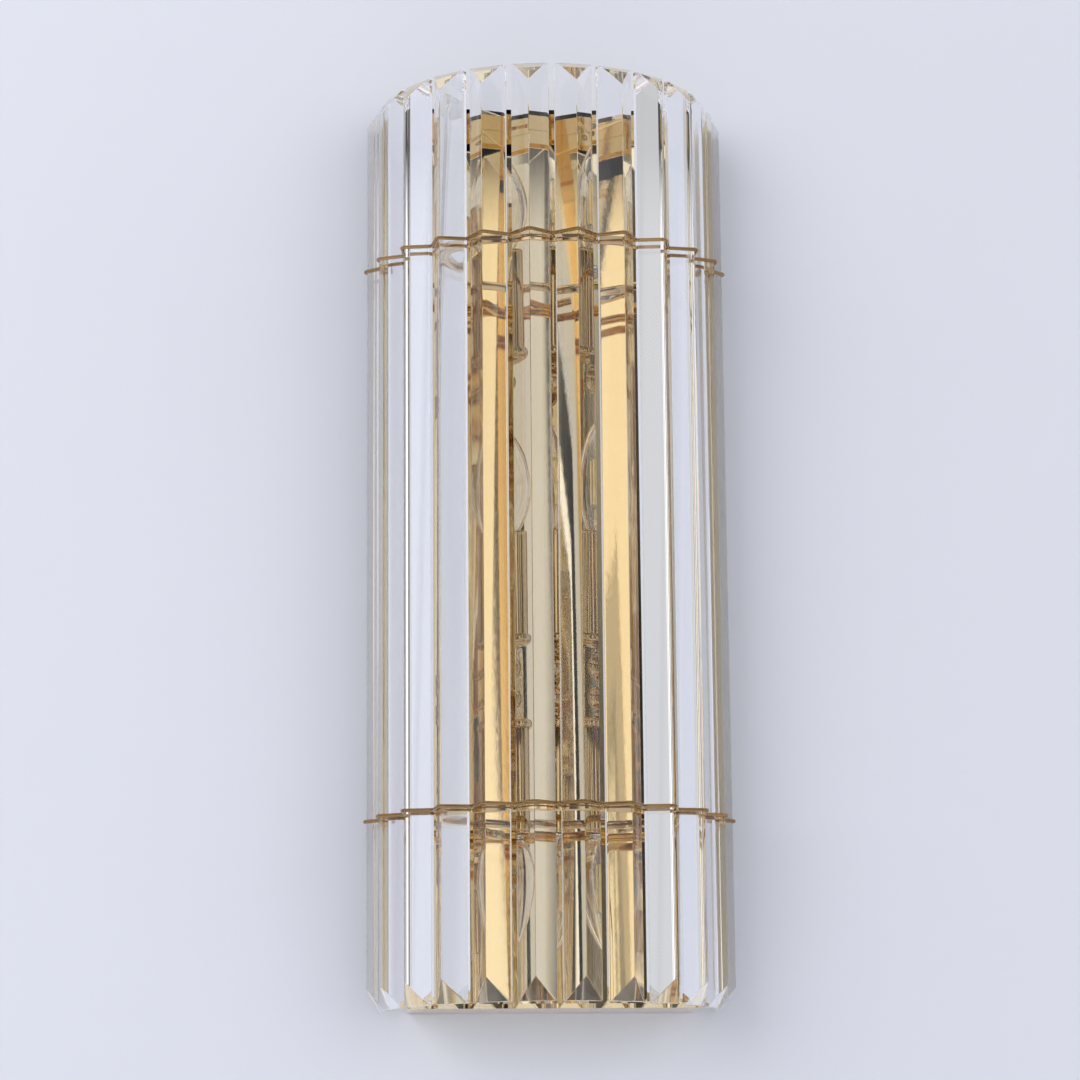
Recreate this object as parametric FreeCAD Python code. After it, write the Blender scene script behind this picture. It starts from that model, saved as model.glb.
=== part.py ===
import FreeCAD, Part
import math
import os

# Crystal wall sconce, in millimetres. The lamp faces -Y, the wall is the plane Y = 0 and Z is up.
# Heights are given from the lower ends of the bars, which stand round the Z axis in a half
# circle. The saved pieces have their origin on the wall, at the middle of the wall bracket.

# Number of flats on round pieces: those thicker than the limit, thinner ones and the wires
large_sides = 20
small_sides = 12
small_limit = 11.0
wire_sides = 8

# Crystal bars
bar_count = 12
bar_pitch = 15.0
bar_edge_radius = 120.0
bar_height = 606.0
bar_width = 24.5
bar_roof_depth = 11.7
bar_side_depth = 2.5
bar_end_slope_height = 14.5
bar_end_slope_depth = 10.5
bar_notch_depth = 0.6

# Wires that run over the front edges of the bars
wire_diameter = 2.4
wire_bend_radius = 3.0
wire_gap = 0.25
wire_end_run = 9.0
lower_wire_height = 122.0
upper_wire_height = 491.0
notch_gap = 0.3

# Half rings behind the bars, with a foot on each side of the housing
strip_thickness = 2.0
strip_height = 5.5
ring_gap = 0.2
tie_thickness = 2.0
foot_length = 12.0
foot_leg_distance = 20.0
foot_screw_setback = 7.0

# Straight bars across the housing, between the feet, and how far they are below the wires
upper_chord_drop = 15.0
lower_chord_drop = 4.0
chord_lip_gap = 0.5

# Housing: a band that stands out from the wall, and a mirror panel across it
band_height = 597.0
band_depth = 42.0
band_ring_gap = 0.65
band_wall = 1.5
band_lip = 3.0
band_corner_radius = 2.5
panel_distance = 10.0
panel_sheet = 1.2
panel_flange_depth = 8.0
panel_gap = 0.1
panel_tab_width = 14.0
panel_tab_depth = 14.0
panel_screw_spread = 66.0
panel_screw_distance = 18.0

# Wall bracket behind the panel
bracket_width = 100.0
bracket_height = 420.0
bracket_thickness = 2.0
bracket_corner_radius = 8.0
wall_hole_diameter = 5.5
wall_hole_spread = 60.0
wall_hole_rise = 300.0
stud_diameter = 5.0
stud_spread = 68.0
stud_rise = 3.0
stud_length = 12.0
stud_hole_gap = 0.25
cap_nut_flats = 8.0
cap_nut_base = 3.0
cap_nut_dome_height = 3.8
cable_hole_diameter = 20.0
grommet_bore = 10.0
grommet_flange_diameter = 26.0
grommet_flange_thickness = 2.5

# Terminal block and earth screw on the bracket
block_width = 32.0
block_height = 20.0
block_depth = 6.0
block_drop = 55.0
block_poles = 3
block_pole_pitch = 10.0
block_well_diameter = 4.4
block_well_depth = 4.0
block_wire_hole_diameter = 2.6
earth_screw_side = 32.0

# Screws, by their thread diameter and head
small_screw_diameter = 3.0
small_screw_head_diameter = 5.6
small_screw_head_height = 1.8
earth_screw_diameter = 4.0
earth_screw_head_diameter = 7.5
earth_screw_head_height = 2.6
screw_gap = 0.1
screw_tip_length = 1.0

# Lamps: an arm from the panel, a ball, and a candle that stands up or hangs down from it
lamp_distance = 54.0
upper_ball_height = 407.0
middle_ball_height = 217.0
lower_ball_height = 197.0
arm_diameter = 6.4
arm_seat_diameter = 16.0
arm_seat_thickness = 2.5
arm_thread_diameter = 8.0
arm_nut_flats = 12.0
arm_nut_thickness = 3.2
arm_bore = 4.0
ball_diameter = 16.0
ball_socket_depth = 3.0
nipple_diameter = 6.4
nipple_bore = 4.0
nipple_socket_length = 5.0
joint_gap = 0.05
neck_length = 6.0
collar_diameter = 32.0
collar_floor = 2.0
collar_height = 6.0
collar_foot_width = 2.2
sleeve_diameter = 27.0
sleeve_wall = 1.0
sleeve_length = 72.0
sleeve_seat_gap = 0.15
holder_diameter = 23.6
holder_stem_diameter = 13.0
holder_cup_height = 31.0
holder_recess = 2.0
holder_bore_depth = 25.0

# Candle bulb with a screw cap
cap_diameter = 13.9
cap_gap = 0.07
cap_length = 21.5
cap_cone_height = 2.5
cap_contact_diameter = 5.0
cap_contact_height = 1.2
glass_length = 76.0
glass_diameter = 35.0
glass_neck_diameter = 15.0
glass_belly_height = 27.0
glass_wall = 0.8
stem_diameter = 5.0
stem_length = 18.0
glass_ring_count = 7
filament_count = 4
filament_length = 30.0
filament_width = 1.4
filament_circle = 8.0
filament_hub_thickness = 1.0
filament_hub_rim = 0.6

# Worked out from the sizes above
wire_radius = wire_diameter / 2
bar_base_distance = bar_edge_radius - bar_roof_depth
bar_back_distance = bar_base_distance - bar_side_depth
ring_outer_radius = bar_back_distance - ring_gap
ring_inner_radius = ring_outer_radius - strip_thickness
wire_offset = wire_radius + wire_gap
panel_face = -panel_distance
panel_back = panel_face + panel_sheet
chord_front = -band_depth + band_wall + chord_lip_gap
chord_back = chord_front + strip_thickness
foot_screw_y = -foot_leg_distance - strip_thickness - foot_screw_setback
middle_height = (lower_wire_height + upper_wire_height) / 2
band_half_width = math.sqrt((ring_inner_radius - band_ring_gap) ** 2 - band_depth ** 2)
band_width = 2 * band_half_width
band_inner_half_width = band_half_width - band_wall
collar_base = ball_diameter / 2 + neck_length
sleeve_base = collar_base + collar_floor
sleeve_end = sleeve_base + sleeve_length
holder_end = sleeve_end - holder_recess
cap_bottom = sleeve_end - cap_length


def save(name, shape):
    placed = shape.translated(FreeCAD.Vector(0, 0, -middle_height))
    placed.exportStep("parts/" + name + ".step")


def box(low_x, high_x, low_y, high_y, low_z, high_z):
    corner = FreeCAD.Vector(low_x, low_y, low_z)
    return Part.makeBox(high_x - low_x, high_y - low_y, high_z - low_z, corner)


def facet(points):
    """A flat face through points, or None where they fall together."""
    apart = [point for point, before in zip(points, points[-1:] + points[:-1])
             if (point - before).Length > 1e-6]
    if len(apart) < 3:
        return None
    return Part.Face(Part.makePolygon(apart + apart[:1]))


def skin(rings, looped=False):
    """A solid through rings of points that lie opposite each other, closed by its end rings
    or, where it is looped, back to its first ring."""
    faces = []
    for low, high in zip(rings, rings[1:] + (rings[:1] if looped else [])):
        for corners in zip(low, low[1:] + low[:1], high[1:] + high[:1], high):
            faces.append(facet(list(corners)))
    if not looped:
        faces += [facet(rings[0]), facet(rings[-1])]
    solid = Part.Solid(Part.Shell([face for face in faces if face]))
    if solid.Volume < 0:
        solid.reverse()
    return solid.removeSplitter()


def side_count(radius):
    return large_sides if 2 * radius > small_limit else small_sides


def circle_points(radius, height, sides):
    points = []
    for step in range(sides):
        turn = 2 * math.pi * (step + 0.5) / sides
        points.append(FreeCAD.Vector(radius * math.cos(turn), radius * math.sin(turn), height))
    return points


def aimed(shape, start, direction):
    """A shape made upright at the origin, moved to start and turned towards direction."""
    shape.Placement = FreeCAD.Placement(start, FreeCAD.Rotation(FreeCAD.Vector(0, 0, 1), direction))
    return shape


def post(radius, length, start, direction, end_radius=None, sides=None):
    """A round post with flats all round, which may taper to end_radius."""
    sides = sides or side_count(radius)
    high = radius if end_radius is None else end_radius
    rings = [circle_points(radius, 0, sides), circle_points(high, length, sides)]
    return aimed(skin(rings), start, direction)


def rod(radius, start, end):
    return post(radius, (end - start).Length, start, end - start)


def round_hole(radius, start, end):
    """A true cylinder, for holes that a mount names."""
    return Part.makeCylinder(radius, (end - start).Length, start, end - start)


def turned(outline, sides, looped=True):
    """A turned solid from its outline of radius and height."""
    return skin([circle_points(radius, height, sides) for radius, height in outline], looped)


def rounded_plate(width, height, radius, low_y, high_y, middle_z):
    plate = box(-width / 2, width / 2, low_y, high_y, middle_z - height / 2, middle_z + height / 2)
    corners = [edge for edge in plate.Edges if abs(edge.tangentAt(0).y) > 0.99]
    return plate.makeFillet(radius, corners)


def hexagon(across, thickness, start, direction):
    return post(across / 2 / math.cos(math.radians(30)), thickness, start, direction, None, 6)


def screw_head(radius, height, base, direction):
    """A screw head with a sloping rim that sits on base and rises along direction."""
    lift = FreeCAD.Vector(direction).multiply(height / 2)
    foot = post(radius, height / 2, base, direction, None, small_sides)
    return foot.fuse(post(radius, height / 2, base + lift, direction, radius / 2, small_sides))


def screw(diameter, head_diameter, head_height, seat, direction, length):
    """A screw whose head stands on seat; its shank runs length the other way."""
    head = screw_head(head_diameter / 2, head_height, seat, direction)
    back = FreeCAD.Vector(direction).multiply(-1)
    return head.fuse(post(diameter / 2, length, seat, back)).removeSplitter()


def ring_point(angle, radius, height=0.0):
    turn = math.radians(angle)
    return FreeCAD.Vector(radius * math.sin(turn), -radius * math.cos(turn), height)


def wire_levels():
    """The name and height of each wire, and the height of the straight bar below it."""
    return (
        ("lower", lower_wire_height, lower_wire_height - lower_chord_drop),
        ("upper", upper_wire_height, upper_wire_height - upper_chord_drop),
    )


def bar_angles():
    first = -bar_pitch * (bar_count - 1) / 2
    return [first + bar_pitch * step for step in range(bar_count)]


# Crystal bars

def end_slope():
    """The wedge that a bar's lower end loses from its front edge."""
    reach = 1.0
    slope = bar_end_slope_height / bar_end_slope_depth
    points = [
        FreeCAD.Vector(0, -(bar_edge_radius - bar_end_slope_depth) + reach, -slope * reach),
        FreeCAD.Vector(0, -bar_edge_radius - reach, -slope * reach),
        FreeCAD.Vector(0, -bar_edge_radius - reach, bar_end_slope_height + slope * reach),
    ]
    face = Part.Face(Part.makePolygon(points + points[:1]))
    face.translate(FreeCAD.Vector(-bar_width, 0, 0))
    return face.extrude(FreeCAD.Vector(2 * bar_width, 0, 0))


def crystal_bar(angle):
    half = bar_width / 2
    section = [
        FreeCAD.Vector(0, -bar_edge_radius, 0),
        FreeCAD.Vector(half, -bar_base_distance, 0),
        FreeCAD.Vector(half, -bar_back_distance, 0),
        FreeCAD.Vector(-half, -bar_back_distance, 0),
        FreeCAD.Vector(-half, -bar_base_distance, 0),
    ]
    face = Part.Face(Part.makePolygon(section + section[:1]))
    bar = face.extrude(FreeCAD.Vector(0, 0, bar_height))
    lower = end_slope()
    upper = lower.mirror(FreeCAD.Vector(0, 0, bar_height / 2), FreeCAD.Vector(0, 0, 1))
    bar = bar.cut(lower).cut(upper)
    floor = -bar_edge_radius + bar_notch_depth
    reach = wire_radius + notch_gap
    for height in (lower_wire_height, upper_wire_height):
        bar = bar.cut(box(-half, half, -bar_edge_radius - 1, floor, height - reach, height + reach))
    bar.rotate(FreeCAD.Vector(0, 0, 0), FreeCAD.Vector(0, 0, 1), angle)
    return bar


# Front wires

def apex_radius():
    half_angle = math.atan2(bar_width / 2, bar_roof_depth)
    return bar_edge_radius + wire_offset / math.sin(half_angle)


def trough_slope():
    return math.atan2(bar_roof_depth, bar_width / 2) - math.radians(bar_pitch / 2)


def trough_radius():
    """Where the offset roof faces of two neighbours meet, before the bend."""
    turn = math.radians(bar_pitch / 2)
    aside = bar_base_distance * math.sin(turn) - bar_width / 2 * math.cos(turn)
    out = bar_base_distance * math.cos(turn) + bar_width / 2 * math.sin(turn)
    return out - aside * math.tan(trough_slope()) + wire_offset / math.cos(trough_slope())


def bent_trough_radius():
    return trough_radius() + wire_bend_radius * (1 / math.cos(trough_slope()) - 1)


def wire_corners(height):
    corners = []
    angles = bar_angles()
    for angle in angles:
        if angle > angles[0]:
            corners.append(ring_point(angle - bar_pitch / 2, trough_radius(), height))
        corners.append(ring_point(angle, apex_radius(), height))
    half_angle = math.degrees(math.atan2(bar_width / 2, bar_roof_depth))
    for angle, place in ((angles[0], 0), (angles[-1], len(corners) + 1)):
        side = math.copysign(1, angle)
        inward = ring_point(angle - side * half_angle, -wire_end_run)
        corner = ring_point(angle, apex_radius(), height)
        corners.insert(place, corner + inward)
    return corners


def bent_path(corners, radius):
    """The corners of a path that takes each bend in two even steps round an arc of radius."""
    path = [corners[0]]
    for before, corner, after in zip(corners, corners[1:], corners[2:]):
        back = (before - corner).normalize()
        ahead = (after - corner).normalize()
        turn = math.pi - back.getAngle(ahead)
        reach = radius * (math.tan(turn / 2) - math.tan(turn / 4))
        path += [corner + back * reach, corner + ahead * reach]
    return path + corners[-1:]


def front_wire(height):
    """The path is level, so each ring of points is mitred across its corner."""
    path = bent_path(wire_corners(height), wire_bend_radius)
    section = circle_points(wire_radius / math.cos(math.pi / wire_sides), 0, wire_sides)
    rings = []
    for before, point, after in zip(path[:1] + path[:-1], path, path[1:] + path[-1:]):
        runs = [run.normalize() for run in (point - before, after - point) if run.Length > 0]
        along = (runs[0] + runs[-1]).normalize()
        across = FreeCAD.Vector(along.y, -along.x, 0) / along.dot(runs[0])
        rings.append([point + across * spot.x + FreeCAD.Vector(0, 0, spot.y) for spot in section])
    return skin(rings)


# Half rings

def ring_foot_side(height, chord_height, side):
    """The leg from the half ring to the housing, and the foot that lies on it."""
    leg_back = -foot_leg_distance
    leg_front = leg_back - strip_thickness
    reach = math.sqrt(ring_outer_radius ** 2 - leg_front ** 2) - strip_thickness / 2
    top = height + wire_radius
    low = top - strip_height
    foot_low = chord_height - strip_height / 2
    foot_end = band_half_width + strip_thickness
    leg = box(band_half_width, reach, leg_front, leg_back, low, top)
    foot = box(band_half_width, foot_end, leg_back - foot_length, leg_back, foot_low, top)
    hole = post(
        small_screw_diameter / 2 + screw_gap, 3 * strip_thickness,
        FreeCAD.Vector(band_half_width - strip_thickness, foot_screw_y, chord_height),
        FreeCAD.Vector(1, 0, 0))
    shape = leg.fuse(foot).cut(hole)
    if side < 0:
        shape = shape.mirror(FreeCAD.Vector(0, 0, 0), FreeCAD.Vector(1, 0, 0))
    return shape


def half_ring(height, chord_height):
    top = height + wire_radius
    low = FreeCAD.Vector(0, 0, top - strip_height)
    strip = Part.makeCylinder(ring_outer_radius, strip_height, low)
    strip = strip.cut(Part.makeCylinder(ring_inner_radius, strip_height, low))
    reach = ring_outer_radius + 1
    strip = strip.common(box(-reach, reach, -reach, -foot_leg_distance, low.z, top))
    for side in (-1, 1):
        strip = strip.fuse(ring_foot_side(height, chord_height, side))
    for angle in bar_angles()[1:]:
        gap = angle - bar_pitch / 2
        tie = box(
            -tie_thickness / 2, tie_thickness / 2,
            -(bent_trough_radius() - wire_radius), -(ring_outer_radius - strip_thickness / 2),
            height - tie_thickness / 2, height + tie_thickness / 2)
        tie.rotate(FreeCAD.Vector(0, 0, 0), FreeCAD.Vector(0, 0, 1), gap)
        strip = strip.fuse(tie)
    return strip.removeSplitter()


def foot_screw_way(chord_height):
    """The hole for the screws through both sides of the housing."""
    return rod(
        small_screw_diameter / 2 + screw_gap,
        FreeCAD.Vector(-band_width, foot_screw_y, chord_height),
        FreeCAD.Vector(band_width, foot_screw_y, chord_height))


def chord_bar(chord_height):
    low = chord_height - strip_height / 2
    top = low + strip_height
    end = band_inner_half_width
    bar = box(-end, end, chord_front, chord_back, low, top)
    for side in (-1, 1):
        inner, outer = sorted((side * (end - strip_thickness), side * end))
        bar = bar.fuse(box(inner, outer, chord_front, -foot_leg_distance, low, top))
    return bar.cut(foot_screw_way(chord_height)).removeSplitter()


def ring_screws():
    screws = []
    seat_x = band_inner_half_width - strip_thickness
    length = band_wall + 2 * strip_thickness + screw_tip_length / 2
    for _, _, chord_height in wire_levels():
        for side in (-1, 1):
            seat = FreeCAD.Vector(side * seat_x, foot_screw_y, chord_height)
            screws.append(screw(
                small_screw_diameter, small_screw_head_diameter, small_screw_head_height,
                seat, FreeCAD.Vector(-side, 0, 0), length))
    return Part.makeCompound(screws)


# Housing

def housing_band():
    middle = band_height / 2
    band = rounded_plate(band_width, band_height, band_corner_radius, -band_depth, 0, middle)
    inner_width = band_width - 2 * band_wall
    inner_height = band_height - 2 * band_wall
    inner_radius = band_corner_radius - band_wall
    band = band.cut(rounded_plate(
        inner_width, inner_height, inner_radius, -band_depth + band_wall, 1, middle))
    mouth = box(
        -band_half_width + band_lip, band_half_width - band_lip,
        -band_depth - 1, -band_depth + band_wall + 1, band_lip, band_height - band_lip)
    band = band.cut(mouth)
    for _, _, chord_height in wire_levels():
        band = band.cut(foot_screw_way(chord_height))
    for side in (-1, 1):
        place = side * panel_screw_spread / 2
        band = band.cut(rod(
            small_screw_diameter / 2 + screw_gap,
            FreeCAD.Vector(place, -panel_screw_distance, -1),
            FreeCAD.Vector(place, -panel_screw_distance, band_height + 1)))
    return band


def stud_places():
    places = []
    for height in (lower_wire_height, upper_wire_height):
        for side in (-1, 1):
            places.append((side * stud_spread / 2, height + stud_rise))
    return places


def ball_heights():
    return (upper_ball_height, middle_ball_height, lower_ball_height)


def mirror_panel():
    middle = band_height / 2
    width = band_width - 2 * band_wall - 2 * panel_gap
    height = band_height - 2 * band_wall - 2 * panel_gap
    corner = band_corner_radius
    flange_end = panel_back + panel_flange_depth
    panel = rounded_plate(width, height, corner, panel_face, flange_end, middle)
    hollow = rounded_plate(
        width - 2 * panel_sheet, height - 2 * panel_sheet, corner - panel_sheet,
        panel_back, flange_end + 1, middle)
    panel = panel.cut(hollow)
    tab_front = panel_face - panel_tab_depth
    for side in (-1, 1):
        place = side * panel_screw_spread / 2
        for edge in (-1, 1):
            outer = middle + edge * height / 2
            inner = outer - edge * panel_sheet
            low, high = sorted((inner, outer))
            panel = panel.fuse(box(
                place - panel_tab_width / 2, place + panel_tab_width / 2,
                tab_front, panel_back, low, high))
        panel = panel.cut(rod(
            small_screw_diameter / 2 + screw_gap,
            FreeCAD.Vector(place, -panel_screw_distance, -1),
            FreeCAD.Vector(place, -panel_screw_distance, band_height + 1)))
    through = FreeCAD.Vector(0, 2 * panel_distance, 0)
    for x, z in stud_places():
        start = FreeCAD.Vector(x, -2 * panel_distance, z)
        panel = panel.cut(rod(stud_diameter / 2 + stud_hole_gap, start, start + through))
    for z in ball_heights():
        start = FreeCAD.Vector(0, -2 * panel_distance, z)
        panel = panel.cut(rod(arm_thread_diameter / 2 + screw_gap, start, start + through))
    return panel.removeSplitter()


def panel_screws():
    screws = []
    seat_depth = band_wall + panel_gap + panel_sheet
    for side in (-1, 1):
        place = side * panel_screw_spread / 2
        for edge, base in ((1, 0), (-1, band_height)):
            seat = FreeCAD.Vector(place, -panel_screw_distance, base + edge * seat_depth)
            screws.append(screw(
                small_screw_diameter, small_screw_head_diameter, small_screw_head_height,
                seat, FreeCAD.Vector(0, 0, edge), seat_depth))
    return Part.makeCompound(screws)


# Wall bracket and what is on it

def wall_bracket():
    plate = rounded_plate(
        bracket_width, bracket_height, bracket_corner_radius, -bracket_thickness, 0, middle_height)
    through = FreeCAD.Vector(0, 2 * bracket_thickness, 0)
    holes = [
        (rod, 0, middle_height, cable_hole_diameter / 2),
        (rod, earth_screw_side, middle_height + block_drop, earth_screw_diameter / 2 + screw_gap),
    ]
    for side in (-1, 1):
        for rise in (-1, 1):
            x = side * wall_hole_spread / 2
            z = middle_height + rise * wall_hole_rise / 2
            holes.append((round_hole, x, z, wall_hole_diameter / 2))
    for hole, x, z, radius in holes:
        start = FreeCAD.Vector(x, -1.5 * bracket_thickness, z)
        plate = plate.cut(hole(radius, start, start + through))
    return plate


def bracket_studs():
    studs = []
    for x, z in stud_places():
        start = FreeCAD.Vector(x, -bracket_thickness, z)
        end = start + FreeCAD.Vector(0, -stud_length, 0)
        studs.append(rod(stud_diameter / 2, start, end))
    return Part.makeCompound(studs)


def cap_nuts():
    nuts = []
    outward = FreeCAD.Vector(0, -1, 0)
    bore_end = -bracket_thickness - stud_length - joint_gap
    for x, z in stud_places():
        seat = FreeCAD.Vector(x, panel_face, z)
        nut = hexagon(cap_nut_flats, cap_nut_base, seat, outward)
        crown = seat + FreeCAD.Vector(0, -cap_nut_base, 0)
        nut = nut.fuse(screw_head(cap_nut_flats / 2, cap_nut_dome_height, crown, outward))
        nut = nut.cut(rod(
            stud_diameter / 2 + joint_gap, seat + FreeCAD.Vector(0, 1, 0),
            FreeCAD.Vector(x, bore_end, z)))
        nuts.append(nut.removeSplitter())
    return Part.makeCompound(nuts)


def cable_grommet():
    inward = FreeCAD.Vector(0, -1, 0)
    base = FreeCAD.Vector(0, 0, middle_height)
    flange = grommet_flange_diameter / 2
    slope = grommet_flange_thickness / 3
    top = bracket_thickness + grommet_flange_thickness
    outline = [
        (0, 0), (cable_hole_diameter / 2, 0), (cable_hole_diameter / 2, bracket_thickness),
        (flange, bracket_thickness), (flange, top - slope), (flange - slope, top), (0, top)]
    body = aimed(turned(outline, large_sides, False), base, inward)
    return body.cut(round_hole(
        grommet_bore / 2, base + FreeCAD.Vector(0, 1, 0), base - FreeCAD.Vector(0, top + 1, 0)))


def terminal_block():
    back = -bracket_thickness
    front = back - block_depth
    middle = middle_height + block_drop
    block = box(
        -block_width / 2, block_width / 2, front, back,
        middle - block_height / 2, middle + block_height / 2)
    block = block.makeChamfer(1.0, [edge for edge in block.Edges if edge.BoundBox.YLength > 1])
    first = -block_pole_pitch * (block_poles - 1) / 2
    for pole in range(block_poles):
        x = first + pole * block_pole_pitch
        well = post(
            block_well_diameter / 2, block_well_depth,
            FreeCAD.Vector(x, front, middle), FreeCAD.Vector(0, 1, 0))
        wire_hole = rod(
            block_wire_hole_diameter / 2,
            FreeCAD.Vector(x, (front + back) / 2, middle - block_height),
            FreeCAD.Vector(x, (front + back) / 2, middle + block_height))
        block = block.cut(well).cut(wire_hole)
    return block


def earth_screw():
    seat = FreeCAD.Vector(earth_screw_side, -bracket_thickness, middle_height + block_drop)
    return screw(
        earth_screw_diameter, earth_screw_head_diameter, earth_screw_head_height,
        seat, FreeCAD.Vector(0, -1, 0), bracket_thickness)


# Lamps. Each is made upright with its ball at the origin, then placed.

def socket_end():
    """How far from the ball's centre the arm and the nipple end in it."""
    return math.sqrt((ball_diameter / 2) ** 2 - (arm_diameter / 2) ** 2) - ball_socket_depth


def lamp_arm():
    """The arm along Y, from its end in the ball to its thread behind the panel."""
    seat = lamp_distance - panel_distance
    thread_end = seat + panel_sheet + arm_nut_thickness + screw_tip_length
    slope = arm_seat_thickness / 2
    outline = [
        (arm_bore / 2, socket_end()), (arm_diameter / 2, socket_end()),
        (arm_diameter / 2, seat - arm_seat_thickness),
        (arm_seat_diameter / 2 - slope, seat - arm_seat_thickness),
        (arm_seat_diameter / 2, seat - slope), (arm_seat_diameter / 2, seat),
        (arm_thread_diameter / 2, seat), (arm_thread_diameter / 2, thread_end),
        (arm_bore / 2, thread_end)]
    return aimed(turned(outline, small_sides), FreeCAD.Vector(0, 0, 0), FreeCAD.Vector(0, 1, 0))


def arm_nut(height):
    start = FreeCAD.Vector(0, panel_back, height)
    nut = hexagon(arm_nut_flats, arm_nut_thickness, start, FreeCAD.Vector(0, 1, 0))
    return nut.cut(rod(
        arm_thread_diameter / 2 + joint_gap, start - FreeCAD.Vector(0, 1, 0),
        start + FreeCAD.Vector(0, arm_nut_thickness + 1, 0)))


def lamp_ball():
    radius = ball_diameter / 2
    bands = small_sides // 2
    outline = []
    for step in range(bands + 1):
        rise = math.pi * (step / bands - 0.5)
        outline.append((max(radius * math.cos(rise), 0), radius * math.sin(rise)))
    outline[0], outline[-1] = (0, -radius), (0, radius)
    middle = FreeCAD.Vector(0, 0, 0)
    ball = turned(outline, small_sides, False)
    for direction in (FreeCAD.Vector(0, 1, 0), FreeCAD.Vector(0, 0, 1)):
        socket = post(arm_diameter / 2 + joint_gap, radius, direction * socket_end(), direction)
        wire_way = post(arm_bore / 2, radius, middle, direction)
        ball = ball.cut(socket).cut(wire_way)
    return ball


def lamp_nipple():
    low = socket_end()
    high = sleeve_base + nipple_socket_length
    outer = nipple_diameter / 2
    inner = nipple_bore / 2
    return turned([(inner, low), (outer, low), (outer, high), (inner, high)], small_sides)


def lamp_collar():
    outer = collar_diameter / 2
    inner = sleeve_diameter / 2 + sleeve_seat_gap
    base = collar_base
    floor = base + collar_floor
    rim = base + collar_height
    foot = outer - collar_foot_width
    plate = turned([(0, base), (foot, base), (outer, floor), (outer, rim), (0, rim)],
                   large_sides, False)
    seat = post(inner, collar_height, FreeCAD.Vector(0, 0, floor), FreeCAD.Vector(0, 0, 1))
    bore = post(nipple_diameter / 2 + joint_gap, collar_height,
                FreeCAD.Vector(0, 0, base - 1), FreeCAD.Vector(0, 0, 1))
    return plate.cut(seat).cut(bore)


def lamp_sleeve():
    outer = sleeve_diameter / 2
    inner = outer - sleeve_wall
    end = sleeve_base + sleeve_length
    return turned(
        [(inner, sleeve_base), (outer, sleeve_base), (outer, end), (inner, end)], large_sides)


def lamp_holder():
    up = FreeCAD.Vector(0, 0, 1)
    cup_base = holder_end - holder_cup_height
    stem = holder_stem_diameter / 2
    cup = holder_diameter / 2
    body = turned(
        [(0, sleeve_base), (stem, sleeve_base), (stem, cup_base), (cup, cup_base),
         (cup, holder_end), (0, holder_end)], large_sides, False)
    bore = post(
        cap_diameter / 2 + cap_gap, holder_bore_depth + 1,
        FreeCAD.Vector(0, 0, holder_end - holder_bore_depth), up)
    nipple_hole = post(
        nipple_diameter / 2 + joint_gap, nipple_socket_length + 1,
        FreeCAD.Vector(0, 0, sleeve_base - 1), up)
    wire_way = post(
        nipple_bore / 2, holder_end - sleeve_base, FreeCAD.Vector(0, 0, sleeve_base), up)
    return body.cut(bore).cut(nipple_hole).cut(wire_way)


# Bulbs, upright on the end of the sleeve

def bulb_cap():
    radius = cap_diameter / 2
    contact = cap_contact_diameter / 2
    cone = cap_bottom - cap_cone_height
    tip = cone - cap_contact_height
    return turned(
        [(0, tip), (contact, tip), (contact, cone), (radius, cap_bottom),
         (radius, sleeve_end), (0, sleeve_end)], large_sides, False)


def candle_outline(shrink):
    """The candle shape as radius and height, made smaller all round by shrink."""
    neck = glass_neck_diameter / 2
    belly = glass_diameter / 2
    outline = [(0, sleeve_end + shrink)]
    for step in range(glass_ring_count):
        rise = step / glass_ring_count
        height = glass_length * (rise ** 1.25)
        if height < glass_belly_height:
            swell = math.sin(math.pi / 2 * height / glass_belly_height)
            radius = neck + (belly - neck) * swell
        else:
            fall = (height - glass_belly_height) / (glass_length - glass_belly_height)
            radius = belly * (1 - fall ** 1.7) ** 0.9
        height = max(height, shrink)
        outline.append((radius - shrink, sleeve_end + height))
    return outline + [(0, sleeve_end + glass_length - 2 * shrink)]


def bulb_glass():
    outer = turned(candle_outline(0), large_sides, False)
    return outer.cut(turned(candle_outline(glass_wall), large_sides, False))


def bulb_filament():
    """A glass stem that carries upright filament strips between two hubs."""
    up = FreeCAD.Vector(0, 0, 1)
    base = sleeve_end + glass_wall
    low_hub = base + stem_length
    high_hub = low_hub + filament_hub_thickness + filament_length
    half = filament_width / 2
    reach = filament_circle / 2
    hub_radius = reach + half + filament_hub_rim
    shape = post(stem_diameter / 2, stem_length, FreeCAD.Vector(0, 0, base), up)
    for level in (low_hub, high_hub):
        shape = shape.fuse(post(hub_radius, filament_hub_thickness, FreeCAD.Vector(0, 0, level), up))
    for step in range(filament_count):
        strip = box(reach - half, reach + half, -half, half, low_hub, high_hub)
        strip.rotate(FreeCAD.Vector(0, 0, 0), up, 360 / filament_count * step)
        shape = shape.fuse(strip)
    return shape.removeSplitter()


def place_lamp(shape, height, points_down):
    placed = shape.copy()
    if points_down:
        placed = placed.mirror(FreeCAD.Vector(0, 0, 0), FreeCAD.Vector(0, 0, 1))
    placed.translate(FreeCAD.Vector(0, -lamp_distance, height))
    return placed


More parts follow.
